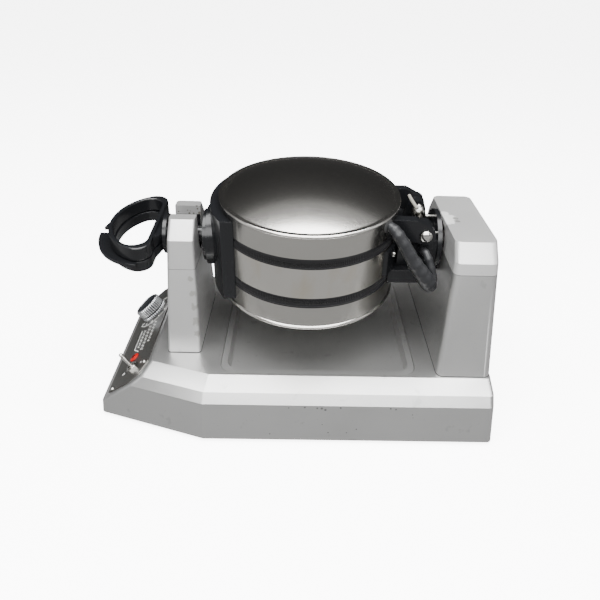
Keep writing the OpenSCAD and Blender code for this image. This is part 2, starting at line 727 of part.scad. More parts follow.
base_housing();
bottom_plate();
rubber_feet();
foot_screws();
drip_tray();
control_panel();
panel_screws();
thermostat_body();
lamp_lens();
lamp_body();
switch_body();
switch_nut();
switch_lever();
knob_body();
knob_face();
terminal_block();
control_board();
cord_gland();
front_post();
fork_head();
fork_liner();
rear_post();
rear_post_cap();
rear_cover();
rear_cover_screws();
bearing_housing();
bearing_screws();
post_screws();
head_shaft();
hub_flange();
shaft_ring();
hinge_block();
block_screws();
middle_band();
middle_upper_grid();
middle_lower_grid();
middle_heaters();
hinge_pins();
pin_screws();
top_spring();
bottom_spring();
top_cover();
top_grid();
top_heater();
top_arms();
top_bracket();
top_handle();
bottom_cover();
bottom_grid();
bottom_heater();
bottom_arms();
bottom_bracket();
bottom_handle();
top_conduit();
bottom_conduit();
conduit_ferrules();
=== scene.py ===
"""Rotating double waffle maker: the visual model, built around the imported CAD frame."""
import json
import math

import bmesh
import bpy
from mathutils import Vector
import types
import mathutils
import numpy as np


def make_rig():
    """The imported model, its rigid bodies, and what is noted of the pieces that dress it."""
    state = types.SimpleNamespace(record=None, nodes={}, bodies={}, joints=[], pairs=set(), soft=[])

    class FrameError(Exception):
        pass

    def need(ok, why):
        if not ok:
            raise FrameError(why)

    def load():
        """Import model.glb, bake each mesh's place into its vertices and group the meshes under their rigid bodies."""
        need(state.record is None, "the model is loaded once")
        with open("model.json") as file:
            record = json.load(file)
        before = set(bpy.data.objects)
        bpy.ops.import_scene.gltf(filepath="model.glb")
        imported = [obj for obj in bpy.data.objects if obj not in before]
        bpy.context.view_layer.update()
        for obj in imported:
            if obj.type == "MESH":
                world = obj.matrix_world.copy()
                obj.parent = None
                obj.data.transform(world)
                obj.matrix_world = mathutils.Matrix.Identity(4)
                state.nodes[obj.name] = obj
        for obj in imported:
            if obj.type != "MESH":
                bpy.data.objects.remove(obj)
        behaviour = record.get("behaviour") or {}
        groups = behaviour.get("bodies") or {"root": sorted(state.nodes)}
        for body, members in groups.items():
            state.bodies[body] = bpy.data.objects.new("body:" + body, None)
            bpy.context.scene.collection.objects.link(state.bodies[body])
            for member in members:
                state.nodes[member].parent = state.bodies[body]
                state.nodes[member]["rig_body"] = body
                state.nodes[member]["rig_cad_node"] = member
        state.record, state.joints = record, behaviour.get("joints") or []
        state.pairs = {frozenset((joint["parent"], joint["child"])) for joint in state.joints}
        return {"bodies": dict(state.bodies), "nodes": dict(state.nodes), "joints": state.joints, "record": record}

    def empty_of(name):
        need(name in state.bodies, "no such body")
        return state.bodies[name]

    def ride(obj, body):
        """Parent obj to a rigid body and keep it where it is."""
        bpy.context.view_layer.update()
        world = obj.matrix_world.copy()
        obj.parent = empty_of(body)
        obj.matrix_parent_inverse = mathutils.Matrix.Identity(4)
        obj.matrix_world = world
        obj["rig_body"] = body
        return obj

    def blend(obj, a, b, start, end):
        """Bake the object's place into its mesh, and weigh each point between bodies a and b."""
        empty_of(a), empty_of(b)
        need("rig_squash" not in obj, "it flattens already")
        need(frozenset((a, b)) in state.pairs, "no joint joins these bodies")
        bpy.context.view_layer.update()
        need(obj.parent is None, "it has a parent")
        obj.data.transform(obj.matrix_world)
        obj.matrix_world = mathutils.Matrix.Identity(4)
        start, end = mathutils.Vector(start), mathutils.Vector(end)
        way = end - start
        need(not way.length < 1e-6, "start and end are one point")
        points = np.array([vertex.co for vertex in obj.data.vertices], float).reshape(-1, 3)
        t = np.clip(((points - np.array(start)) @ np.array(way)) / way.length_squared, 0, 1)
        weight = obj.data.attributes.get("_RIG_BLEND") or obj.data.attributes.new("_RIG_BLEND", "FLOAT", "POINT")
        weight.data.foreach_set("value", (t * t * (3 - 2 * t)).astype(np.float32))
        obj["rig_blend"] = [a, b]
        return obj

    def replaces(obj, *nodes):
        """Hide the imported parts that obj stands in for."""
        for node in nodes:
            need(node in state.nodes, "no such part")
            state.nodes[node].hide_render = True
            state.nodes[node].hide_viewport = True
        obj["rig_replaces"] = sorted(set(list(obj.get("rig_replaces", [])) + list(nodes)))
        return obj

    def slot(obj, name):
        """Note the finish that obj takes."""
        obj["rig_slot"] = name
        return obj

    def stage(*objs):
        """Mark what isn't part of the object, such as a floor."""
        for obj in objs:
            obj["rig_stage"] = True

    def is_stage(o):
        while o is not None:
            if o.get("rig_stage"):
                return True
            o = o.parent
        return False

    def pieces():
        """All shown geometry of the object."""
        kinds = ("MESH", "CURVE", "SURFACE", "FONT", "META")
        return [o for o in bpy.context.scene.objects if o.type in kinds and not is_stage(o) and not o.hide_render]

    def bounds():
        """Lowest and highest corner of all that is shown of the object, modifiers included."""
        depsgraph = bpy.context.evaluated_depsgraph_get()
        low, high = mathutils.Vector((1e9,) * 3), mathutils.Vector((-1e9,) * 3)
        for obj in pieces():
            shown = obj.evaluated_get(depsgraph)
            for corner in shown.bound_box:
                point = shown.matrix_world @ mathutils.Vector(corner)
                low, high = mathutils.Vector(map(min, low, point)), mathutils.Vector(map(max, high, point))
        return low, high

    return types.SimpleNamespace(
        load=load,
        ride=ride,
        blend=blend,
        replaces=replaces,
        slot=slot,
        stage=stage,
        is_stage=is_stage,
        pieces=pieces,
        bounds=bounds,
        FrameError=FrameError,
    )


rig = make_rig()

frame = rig.load()
lo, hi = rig.bounds()
size = {"cad": [list(lo), list(hi)]}

MM = 0.001
TILT = math.radians(4.5)
AXIS_Z = 193.0
SLOPE = math.radians(40)
NODES = frame["nodes"]
BODY_OF = {n: b for b, ns in frame["record"]["behaviour"]["bodies"].items() for n in ns}
SLOT_OF = {s["node"]: s["material_slot"] for s in frame["record"]["subparts"]}
SLOTS = {m["slot"] for m in frame["record"]["materials"]}

# Where things are, in mm, as the CAD has them: on the panel as (across, up the slope)
KNOB_AT = (-45, 48)
LAMP_AT = (51.5, 40.5)
SWITCH_X = 76.5
PANEL_FACE = 1.2
PANEL_FOOT = (-242, 19)
# Hinge pins as (behind the head's centre, off its middle plane)
UPPER_PIN = (131, 30)
LOWER_PIN = (134, 26)
DECK_Z = 70.2

# ---------- materials ----------


class Shader:
    """One principled material with a chain of procedural nodes."""

    def __init__(self, name, color, rough, metal=0.0, **extra):
        self.mat = bpy.data.materials.new(name)
        self.mat.use_nodes = True
        self.tree = self.mat.node_tree
        self.bsdf = self.tree.nodes["Principled BSDF"]
        self.set("Base Color", (*color, 1))
        self.set("Roughness", rough)
        self.set("Metallic", metal)
        for key, value in extra.items():
            self.set(key.replace("_", " "), value)
        self.coords = None
        self.bump_out = None

    def set(self, key, value):
        self.bsdf.inputs[key].default_value = value

    def node(self, kind, **values):
        n = self.tree.nodes.new(kind)
        for key, value in values.items():
            if key in n.inputs:
                n.inputs[key].default_value = value
            else:
                setattr(n, key, value)
        return n

    def link(self, a, b):
        self.tree.links.new(a, b)

    def position(self, scale=(1, 1, 1)):
        if self.coords is None:
            self.coords = self.node("ShaderNodeTexCoord")
        mapping = self.node("ShaderNodeMapping")
        mapping.inputs["Scale"].default_value = scale
        self.link(self.coords.outputs["Object"], mapping.inputs["Vector"])
        return mapping.outputs["Vector"]

    def noise(self, scale, detail=3.0, stretch=(1, 1, 1)):
        n = self.node("ShaderNodeTexNoise", Scale=scale, Detail=detail)
        self.link(self.position(stretch), n.inputs["Vector"])
        return n.outputs["Fac"]

    def ramp(self, fac, *stops):
        n = self.node("ShaderNodeValToRGB")
        while len(n.color_ramp.elements) < len(stops):
            n.color_ramp.elements.new(0.5)
        for element, (at, value) in zip(n.color_ramp.elements, stops):
            element.position = at
            grey = isinstance(value, (int, float))
            element.color = (value, value, value, 1) if grey else (*value, 1)
        self.link(fac, n.inputs["Fac"])
        return n.outputs["Color"]

    def color(self, fac, *stops):
        self.link(self.ramp(fac, *stops), self.bsdf.inputs["Base Color"])
        return self

    def overlay(self, fac, color):
        """Mix a colour over the base colour where fac is 1."""
        mix = self.node("ShaderNodeMix", data_type="RGBA")
        base = self.bsdf.inputs["Base Color"]
        if base.is_linked:
            self.link(base.links[0].from_socket, mix.inputs["A"])
        else:
            mix.inputs["A"].default_value = base.default_value
        mix.inputs["B"].default_value = (*color, 1)
        self.link(fac, mix.inputs["Factor"])
        self.link(mix.outputs["Result"], base)
        return self

    def spots(self, places, color, share, ragged=0.6):
        """Ragged marks at given places: (x, y, z, radius) in metres."""
        wobble = self.noise(170, 6)
        for x, y, z, r in places:
            away = self.node("ShaderNodeVectorMath", operation="DISTANCE")
            self.link(self.coords.outputs["Object"], away.inputs[0])
            away.inputs[1].default_value = (x, y, z)
            edge = self.node("ShaderNodeMath", operation="MULTIPLY_ADD")
            self.link(wobble, edge.inputs[0])
            edge.inputs[1].default_value = 2 * r * ragged
            self.link(away.outputs["Value"], edge.inputs[2])
            fade = self.node("ShaderNodeMapRange")
            fade.inputs["From Min"].default_value = r * (0.85 + ragged)
            fade.inputs["From Max"].default_value = r * (1.15 + ragged)
            fade.inputs["To Min"].default_value = share
            fade.inputs["To Max"].default_value = 0
            self.link(edge.outputs["Value"], fade.inputs["Value"])
            self.overlay(fade.outputs["Result"], color)
        return self

    def rough(self, fac, low, high):
        n = self.node("ShaderNodeMapRange")
        n.inputs["To Min"].default_value = low
        n.inputs["To Max"].default_value = high
        self.link(fac, n.inputs["Value"])
        self.link(n.outputs["Result"], self.bsdf.inputs["Roughness"])
        return self

    def bump(self, fac, strength, distance):
        n = self.node("ShaderNodeBump", Strength=strength, Distance=distance)
        self.link(fac, n.inputs["Height"])
        if self.bump_out is not None:
            self.link(self.bump_out, n.inputs["Normal"])
        self.bump_out = n.outputs["Normal"]
        self.link(self.bump_out, self.bsdf.inputs["Normal"])
        return self


def paint(name, color, rough=0.33, metal=0.92):
    s = Shader(name, color, rough, metal)
    grain = s.noise(2400, 2)
    s.color(s.noise(7, 4), (0.3, tuple(c * 0.93 for c in color)), (0.7, tuple(c * 1.04 for c in color)))
    s.overlay(s.ramp(s.noise(420, 5), (0.66, 0), (0.74, 0.45)), tuple(c * 0.62 for c in color))
    s.overlay(s.ramp(s.noise(60, 9), (0.66, 0), (0.72, 0.30)), tuple(c * 0.55 for c in color))
    s.rough(s.noise(30, 4), rough - 0.05, rough + 0.05)
    return s.bump(grain, 0.25, 0.0002)


def brushed(name, color, rough, stretch, metal=1.0):
    s = Shader(name, color, rough, metal)
    grain = s.noise(300, 4, stretch)
    s.rough(grain, rough * 0.75, rough * 1.35)
    s.color(s.noise(9, 3), (0.3, tuple(c * 0.93 for c in color)), (0.7, color))
    return s.bump(grain, 0.04, 0.0002)


def plastic(name, color, rough, coarse=900, gloss=0.3):
    s = Shader(name, color, rough, Specular_IOR_Level=gloss)
    s.rough(s.noise(25, 4), rough * 0.8, rough * 1.25)
    return s.bump(s.noise(coarse, 3), 0.12, 0.0003)


SILVER = (0.45, 0.45, 0.445)
M = {
    "cast_paint": paint("silver_paint", SILVER),
    # The drip tray takes a darker, less metallic copy of the silver paint: painted shade in the recess under the head
    "tray": paint("tray_shaded_grey", (0.38, 0.38, 0.375), 0.33, 0.85),
    "stainless": brushed("stainless", (0.53, 0.515, 0.48), 0.20, (1, 1, 14)),
    "cover_side": brushed("cover_side", (0.42, 0.41, 0.385), 0.20, (1, 1, 14)),
    "cap_paint": paint("cap_paint", SILVER, 0.35, 0.62),
    # A darker, less metallic copy of the silver paint for the front post and fork head: painted shade
    "post_paint": paint("post_paint", (0.43, 0.43, 0.425), 0.34, 0.72),
    "dome": brushed("dome_steel", (0.55, 0.535, 0.505), 0.18, (14, 1, 1)),
    "zinc": brushed("plated_steel", (0.30, 0.295, 0.28), 0.2, (4, 4, 4)),
    "nonstick": plastic("nonstick", (0.008, 0.008, 0.0085), 0.38, 500),
    "phenolic": plastic("black_phenolic", (0.005, 0.0053, 0.006), 0.215, gloss=0.32),
    "matte_black": plastic("matte_black", (0.012, 0.0125, 0.014), 0.5, 1400),
    "panel_grey": paint("panel_grey", (0.115, 0.113, 0.104)),
    "print": plastic("white_print", (0.72, 0.72, 0.70), 0.5),
    "knob_silver": brushed("knob_silver", (0.55, 0.56, 0.575), 0.20, (3, 3, 3), 0.95),
    "knob_dark": plastic("knob_dark", (0.006, 0.007, 0.009), 0.35, gloss=0.15),
    "lamp_core": plastic("lamp_core", (0.06, 0.002, 0.002), 0.12, gloss=0.4),
    "lamp_red": plastic("lamp_red", (0.30, 0.004, 0.003), 0.16, gloss=0.4),
    "sleeve": plastic("spring_sleeve", (0.15, 0.143, 0.125), 0.45),
    "bright": brushed("bright_steel", (0.52, 0.51, 0.49), 0.14, (3, 3, 3)),
    "white_plastic": plastic("insulator", (0.62, 0.59, 0.52), 0.5),
    "rubber": plastic("rubber", (0.02, 0.02, 0.02), 0.65),
    "conduit": plastic("sleeving", (0.012, 0.0123, 0.0135), 0.42, 700),
    "heater": brushed("heater_sheath", (0.16, 0.13, 0.11), 0.45, (6, 6, 6)),
    "board": plastic("circuit_board", (0.02, 0.14, 0.05), 0.4),
    "grey_plate": paint("grey_plate", (0.24, 0.24, 0.24)),
}
warm = M["stainless"]
warm.overlay(warm.ramp(warm.noise(26, 6, (1, 1, 0.6)), (0.52, 0), (0.72, 0.55)), (0.47, 0.41, 0.30))
worn = M["dome"]
worn.overlay(worn.ramp(worn.noise(160, 9), (0.68, 0), (0.73, 0.25)), (0.9, 0.9, 0.88))


def marks(places, surface):
    """Marks given as (a, b, radius) in mm on a surface of two coordinates, as spots in metres."""
    return [(*(c * MM for c in surface(a, b)), r * MM) for a, b, r in places]


def skirt_side(y, z):
    """The skirt's near side, which leans in by 3.8 mm over its height of 47.3 mm."""
    return 144 - 3.8 * (z - 4) / 47.3, y, z


def front_outline(z):
    """Half width, front and back of the front post at height z, as the CAD drafts it."""
    rise = z - DECK_Z
    return 71.7 - rise * 0.194, -164.6 + rise * 0.0268, -125.6 - rise * 0.0357


def rear_outline(z):
    """The same of the rear post."""
    rise = z - DECK_Z
    return 109.4 - rise * 0.2017, 149.8 + rise * 0.071, 212 - rise * 0.0295


def post_side(y, z):
    """The front post's near side, which leans in as it rises."""
    return front_outline(z)[0], y, z


def slot_side(y, z):
    """The far tine's face in the fork's slot."""
    return -13, y, z


def cap_top(x, y):
    """The rear cap's flat top."""
    return x, y, 222.5


# Wear on the rear cap, stains and pits on the front post, chips on the skirt
WORN = ((2, 162.5, 11.5), (-10, 163, 6), (15, 163, 7), (4, 158, 7))
M["cap_paint"].spots(marks(WORN, cap_top), (0.92, 0.92, 0.90), 0.85)
M["cap_paint"].spots(marks(((4, 173.5, 3.5), (12, 174.5, 3)), cap_top), (0.16, 0.16, 0.15), 0.7, 0.4)

STAINS = ((-133, 143, 3.5), (-132, 126, 4.5), (-130, 110, 4.5), (-135, 161, 3), (-129, 94, 4))
M["post_paint"].spots(marks(STAINS, post_side), (0.20, 0.195, 0.17), 0.5, 1.6)

PITS = ((-157, 216, 0.9), (-146, 218, 0.8), (-143, 217, 0.6), (-134, 220, 1.2), (-135, 224, 1.3),
        (-144, 214, 1.1), (-132, 215, 1.6), (-139, 214, 1), (-130, 223, 1.1))
M["post_paint"].spots(marks(PITS, slot_side), (0.10, 0.09, 0.07), 0.8, 0.9)

CHIPS = ((-19, 48, 0.8), (-1, 49, 1), (13, 48, 1.1), (18, 48, 1.5), (22, 46, 1.3), (39, 49, 0.9),
         (95, 49, 1.1), (101, 48, 1), (120, 41, 0.9), (121, 37, 0.8), (19, 26, 0.7), (26, 15, 0.9),
         (58, 20, 0.9), (47, 15, 0.8), (-40, 12, 0.9), (-57, 5, 1))
M["cast_paint"].spots(marks(CHIPS, skirt_side), (0.12, 0.12, 0.115), 0.75, 0.9)

# The front post and fork head take the darker copy of the silver paint as painted shade
LOOK_OF = {"rear_post_cap": "cap_paint", "front_post": "post_paint", "fork_head": "post_paint",
           "drip_tray": "tray", "switch_body": "bright", "switch_nut": "bright", "switch_lever": "bright"}
for name, node in NODES.items():
    node.data.materials.clear()
    node.data.materials.append(M[LOOK_OF.get(name, SLOT_OF[name])].mat)

# ---------- mesh helpers ----------


def head(x, y, z):
    """A point of the head's own frame, in mm, as a point of the part's frame, in metres."""
    c, s = math.cos(TILT), math.sin(TILT)
    return Vector((x * c + z * s, y, -x * s + z * c + AXIS_Z)) * MM


def turned(x, y, z):
    """The head's frame turned over: the bottom lid's own frame."""
    return head(-x, y, -z)


def on_panel(x, u, h):
    """A point of the control panel: across, up the slope, away from it."""
    c, s = math.cos(SLOPE), math.sin(SLOPE)
    y, z = PANEL_FOOT
    return Vector((x, y + u * c - h * s, z + u * s + h * c)) * MM


def add(name, verts, faces, material, body, slot=None, smooth=True, replaces=(), angle=35):
    """A new piece of the visual model, from points in metres."""
    mesh = bpy.data.meshes.new(name)
    mesh.from_pydata([tuple(v) for v in verts], [], faces)
    mesh.validate()
    obj = bpy.data.objects.new(name, mesh)
    bpy.context.scene.collection.objects.link(obj)
    return dress(obj, material, body, slot, smooth, replaces, angle)


def dress(obj, material, body, slot=None, smooth=True, replaces=(), angle=35):
    """Give a piece its material, normals, body, slot and the CAD nodes it stands in for."""
    obj.data.materials.clear()
    obj.data.materials.append(M[material].mat)
    b = bmesh.new()
    b.from_mesh(obj.data)
    bmesh.ops.recalc_face_normals(b, faces=b.faces)
    b.to_mesh(obj.data)
    b.free()
    if smooth:
        obj.data.shade_smooth()
        obj.data.set_sharp_from_angle(angle=math.radians(angle))
    if body is not None:
        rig.ride(obj, body)
    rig.slot(obj, slot or (material if material in SLOTS else "phenolic"))
    if replaces:
        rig.replaces(obj, *replaces)
    return obj


FLAT_TURN = math.radians(0.6)
EDGE_TURN = 18.8
WELD = 0.02 * MM


def rounded(node, width, segments, material):
    """Stand-in for a CAD node with its sharp edges rounded."""
    mesh = NODES[node].data.copy()
    obj = bpy.data.objects.new(node + ".look", mesh)
    bpy.context.scene.collection.objects.link(obj)
    b = bmesh.new()
    b.from_mesh(mesh)
    bmesh.ops.remove_doubles(b, verts=b.verts, dist=WELD)
    bmesh.ops.dissolve_limit(b, angle_limit=FLAT_TURN, verts=b.verts, edges=b.edges)
    b.to_mesh(mesh)
    b.free()
    bevel = obj.modifiers.new("bevel", "BEVEL")
    bevel.width = width * MM
    bevel.segments = segments
    bevel.limit_method = "ANGLE"
    bevel.angle_limit = math.radians(EDGE_TURN)
    bevel.harden_normals = True
    bevel.use_clamp_overlap = True
    dress(obj, material, BODY_OF[node], SLOT_OF[node], True, (node,), EDGE_TURN)


def wrap(rows, turns, closed=False):
    """Faces between rings of points; a closed set joins its last ring to the first."""
    faces = []
    for i in range(rows if closed else rows - 1):
        j = (i + 1) % rows
        for k in range(turns):
            m = (k + 1) % turns
            faces.append((i * turns + k, i * turns + m, j * turns + m, j * turns + k))
    return faces


def lathe(name, profile, material, body, place, turns=160, closed=False, **more):
    """Turn a list of (radius, height) in mm about the local z axis."""
    verts = []
    for r, z in profile:
        for k in range(turns):
            a = 2 * math.pi * k / turns
            verts.append(place(r * math.cos(a), r * math.sin(a), z))
    return add(name, verts, wrap(len(profile), turns, closed), material, body, **more)


def smooth_route(route, steps):
    """Catmull-Rom points through a list of equal-length tuples."""
    out = []
    n = len(route)
    for i in range(n - 1):
        p = [route[max(0, min(n - 1, i + k))] for k in (-1, 0, 1, 2)]
        for s in range(steps):
            t = s / steps
            out.append([0.5 * (2 * b + (c - a) * t + (2 * a - 5 * b + 4 * c - d) * t * t
                               + (3 * b - a - 3 * c + d) * t ** 3) for a, b, c, d in zip(*p)])
    out.append(list(route[-1]))
    return out


def tube(name, route, material, body, place, sides=20, **more):
    """A tube along [x, y, z, radius] points in mm, with closed ends."""
    pts = [Vector(p[:3]) for p in route]
    verts = []
    normal = None
    for i, p in enumerate(pts):
        way = (pts[min(len(pts) - 1, i + 1)] - pts[max(0, i - 1)]).normalized()
        if normal is None:
            normal = way.orthogonal().normalized()
        normal = (normal - way * normal.dot(way)).normalized()
        other = way.cross(normal)
        for k in range(sides):
            a = 2 * math.pi * k / sides
            q = p + (normal * math.cos(a) + other * math.sin(a)) * route[i][3]
            verts.append(place(*q))
    faces = wrap(len(pts), sides)
    faces.append(tuple(range(sides)))
    faces.append(tuple(range(len(verts) - sides, len(verts))))
    return add(name, verts, faces, material, body, **more)


# ---------- camera, lights and stage ----------

camera = bpy.data.objects.new("camera", bpy.data.cameras.new("camera"))
bpy.context.scene.collection.objects.link(camera)
bpy.context.scene.camera = camera
camera.location = (0.6564, -0.0125, 0.5076)
camera.rotation_euler = [math.radians(turn) for turn in (62.335, -1.695, 89.36)]
camera.data.sensor_width = 36
camera.data.lens = 36.126
camera.data.shift_x = -0.0199
camera.data.shift_y = -0.0703
camera.data.clip_start = 0.01


def area(name, at, towards, size, power):
    """A soft rectangular light that the camera doesn't see."""
    data = bpy.data.lights.new(name, "AREA")
    data.shape = "RECTANGLE"
    data.size, data.size_y = size
    data.energy = power
    obj = bpy.data.objects.new(name, data)
    obj.location = at
    obj.rotation_euler = (Vector(towards) - Vector(at)).to_track_quat("-Z", "Y").to_euler()
    obj.visible_camera = False
    bpy.context.scene.collection.objects.link(obj)


area("overhead", (0.35, 0.0, 1.9), (0.35, 0, 0.1), (1.4, 2.4), 165)
area("right_side", (0.5, 1.5, 0.85), (0, 0, 0.18), (1.1, 0.8), 4.5)
area("left_side", (0.4, -1.6, 0.7), (0, 0, 0.18), (0.9, 0.7), 3)
area("front_top", (1.5, 0.0, 1.15), (0.1, 0, 0.1), (2.4, 1.0), 75)

world = bpy.data.worlds.new("studio")
bpy.context.scene.world = world
world.use_nodes = True
world.node_tree.nodes["Background"].inputs["Color"].default_value = (1, 1, 1, 1)
world.node_tree.nodes["Background"].inputs["Strength"].default_value = 0.35


def stage_plane(name, corners, look):
    """A flat four-cornered part of the stage, in metres."""
    mesh = bpy.data.meshes.new(name)
    mesh.from_pydata(corners, [], [(0, 1, 2, 3)])
    look.mat.cycles.emission_sampling = "NONE"
    mesh.materials.append(look.mat)
    obj = bpy.data.objects.new(name, mesh)
    bpy.context.scene.collection.objects.link(obj)
    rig.stage(obj)
    return obj


# A white room that only the camera sees: a floor and four walls
ROOM = 9
white = Shader("floor", (0.93, 0.93, 0.93), 0.9)
white.set("Emission Color", (1, 1, 1, 1))
white.set("Emission Strength", 6.0)
square = [(-ROOM, -ROOM), (ROOM, -ROOM), (ROOM, ROOM), (-ROOM, ROOM)]
room = {"floor": [(x, y, 0) for x, y in square]}
for i, name in enumerate(("wall_left", "wall_front", "wall_right", "wall_back")):
    start, end = square[i], square[(i + 1) % 4]
    room[name] = [(*start, 0), (*end, 0), (*end, ROOM), (*start, ROOM)]
for name, corners in room.items():
    plane = stage_plane(name, corners, white)
    plane.visible_glossy = False
    plane.visible_diffuse = False
    plane.visible_shadow = False


def card(name, corners, level):
    """A card that only reflections see, with a brightness of its own."""
    look = Shader(name, (0, 0, 0), 1.0)
    look.set("Specular IOR Level", 0.0)
    look.set("Emission Color", (1, 1, 1, 1))
    look.set("Emission Strength", level)
    obj = stage_plane(name, corners, look)
    obj.visible_camera = False
    obj.visible_diffuse = False
    obj.visible_shadow = False


def across(x0, z0, x1, z1):
    """Corners of a card that spans the stage from one (x, z) line to another."""
    reach = 2.6
    return [(x0, -reach, z0), (x1, -reach, z1), (x1, reach, z1), (x0, reach, z0)]


card("back_card", across(-1.5, 0, -1.0, 1.87), 0.03)
card("back_floor_card", across(-1.5, 0.002, -0.42, 0.002), 0.03)
card("front_floor_card", across(0.0, 0.001, 2.2, 0.001), 0.72)

# ---------- castings and plastic with rounded edges ----------

EDGE_WIDTHS = {"base_housing": 1.6, "front_post": 1.8, "fork_head": 1.8, "rear_post": 1.8,
               "rear_post_cap": 2.0, "rear_cover": 0.4, "control_panel": 0.3, "hinge_block": 1.4,
               "top_arms": 1.4, "bottom_arms": 1.4, "top_bracket": 1.8, "bottom_bracket": 1.8,
               "top_handle": 2.3, "bottom_handle": 1.6, "bottom_plate": 0.3, "terminal_block": 0.6,
               "thermostat_body": 0.8}
for node, width in EDGE_WIDTHS.items():
    rounded(node, width, 4 if width > 2.1 else 3, LOOK_OF.get(node, SLOT_OF[node]))

# ---------- dark plates whose edges paint shade into the posts' joint lines ---


def shadow_gap_plate(name, outline, z, tall, out, corner):
    """A thin dark plate right across a post at height z, its edge a hair proud of the post's sides: painted shade for
    the shadow gap of a joint.
    """
    x, y0, y1 = outline(z)
    ring = []
    for cx, cy, start in ((x - corner, y1 - corner, 0), (-x + corner, y1 - corner, 90),
                          (-x + corner, y0 + corner, 180), (x - corner, y0 + corner, 270)):
        for k in range(7):
            a = math.radians(start + 15 * k)
            ring.append((cx + (corner + out) * math.cos(a), cy + (corner + out) * math.sin(a)))
    n = len(ring)
    verts = [Vector((px, py, pz)) * MM for px, py in ring for pz in (z, z + tall)]
    faces = [(2 * k, 2 * ((k + 1) % n), 2 * ((k + 1) % n) + 1, 2 * k + 1) for k in range(n)]
    faces += [tuple(range(0, 2 * n, 2)), tuple(range(1, 2 * n, 2))]
    add(name, verts, faces, "rubber", "base", smooth=False)


# Painted shade: these dark plates stand for the shadow where each post meets the deck and in the seams higher up
shadow_gap_plate("front_post_joint_shade", front_outline, DECK_Z, 0.7, 0.3, 4)
shadow_gap_plate("rear_post_joint_shade", rear_outline, DECK_Z, 0.7, 0.3, 8)
shadow_gap_plate("front_post_seam_shade", front_outline, 171.9, 0.3, 0.12, 4)
shadow_gap_plate("rear_post_seam_shade", rear_outline, 189.9, 0.4, 0.15, 8)

# ---------- covers ----------

BAND_R, SHEET = 103.0, 1.2
COVER_Z, RIM_Z, RIM_R, CROWN, DOME_R = 31.1, 58.1, 105.0, 20.0, 98.3
COVER_TURNS = 220
SIDE_ROWS = 4


def crown_z(r):
    """Height of the cover's crown at radius r."""
    return RIM_Z + 1.9 + (CROWN + 0.6) * (1 - (r / DOME_R) ** 2)


outer = [(BAND_R - SHEET, COVER_Z + 0.15), (BAND_R, COVER_Z + 0.15), (BAND_R + 0.1, 40), (BAND_R + 0.35, 52)]
outer += [(RIM_R - 1.7, RIM_Z - 2.2)]
BEAD = 2.3
outer += [(RIM_R - BEAD + BEAD * math.cos(math.radians(a)), RIM_Z + BEAD * math.sin(math.radians(a)))
          for a in range(-40, 111, 15)]
outer += [(101.2, RIM_Z + 1.9), (100.2, RIM_Z + 1.6), (99.3, RIM_Z + 1.6), (98.7, RIM_Z + 1.75)]
outer += [(DOME_R - 1.2 * k, crown_z(DOME_R - 1.2 * k)) for k in range(0, 82)] + [(0.2, crown_z(0))]
inner = [(0.2, crown_z(0) - 1.6)]
inner += [(r, crown_z(r) - 1.6) for r in range(4, 97, 6)] + [(RIM_R - 5.6, RIM_Z - 0.8), (BAND_R - SHEET, 52)]
for body, node, place in (("upper_lid", "top_cover", head), ("lower_lid", "bottom_cover", turned)):
    cover = lathe(node + ".look", outer + inner, "dome", body, place, COVER_TURNS, True, slot="stainless",
                  replaces=(node,), angle=40)
    cover.data.materials.append(M["cover_side"].mat)
    for face in cover.data.polygons[:SIDE_ROWS * COVER_TURNS]:
        face.material_index = 1

# ---------- black web under the hinge block ----------

WEB_X, WEB_Y, WEB_Z = (26, 33.6), (101, 127), (15.2, 27)
verts = [turned(-x, y, z) for x in WEB_X for y in WEB_Y for z in WEB_Z]
add("hinge_web", verts, [(0, 1, 3, 2), (4, 6, 7, 5), (0, 4, 5, 1), (2, 3, 7, 6), (0, 2, 6, 4), (1, 5, 7, 3)],
    "phenolic", "head", smooth=False)

# ---------- dark grid edges with their fine teeth ----------


def toothed_ring(name, z0, z1, r_in, r_out, body, place):
    """A ring with a zigzag side, as the grids' edges have."""
    count = 600
    verts, faces = [], []
    for z in (z0, z1):
        for k in range(count):
            a = 2 * math.pi * k / count
            r = r_out if k % 2 else r_in
            verts.append(place(r * math.cos(a), r * math.sin(a), z))
    for k in range(count):
        m = (k + 1) % count
        faces.append((k, m, count + m, count + k))
    add(name, verts, faces, "nonstick", body, smooth=False)


# Where a lid's grid meets the middle one
SPLIT = 24.85
for side, place, lid in (("upper", head, "upper_lid"), ("lower", turned, "lower_lid")):
    toothed_ring(f"{side}_teeth_lid", SPLIT + 0.2, SPLIT + 2.2, 101.9, 102.75, lid, place)
    toothed_ring(f"{side}_teeth_mid", SPLIT - 3.4, SPLIT - 0.2, 101.9, 102.9, "head", place)
    lathe(f"{side}_lip_mid", [(101.8, 18.75), (102.8, 18.75), (102.8, 20.0), (101.8, 20.3)], "nonstick",
          "head", place, closed=True)
    lathe(f"{side}_lip_lid", [(101.8, 29.4), (102.85, 29.7), (102.85, 31.0), (101.8, 31.0)], "nonstick",
          lid, place, closed=True)

# ---------- wire conduits ----------

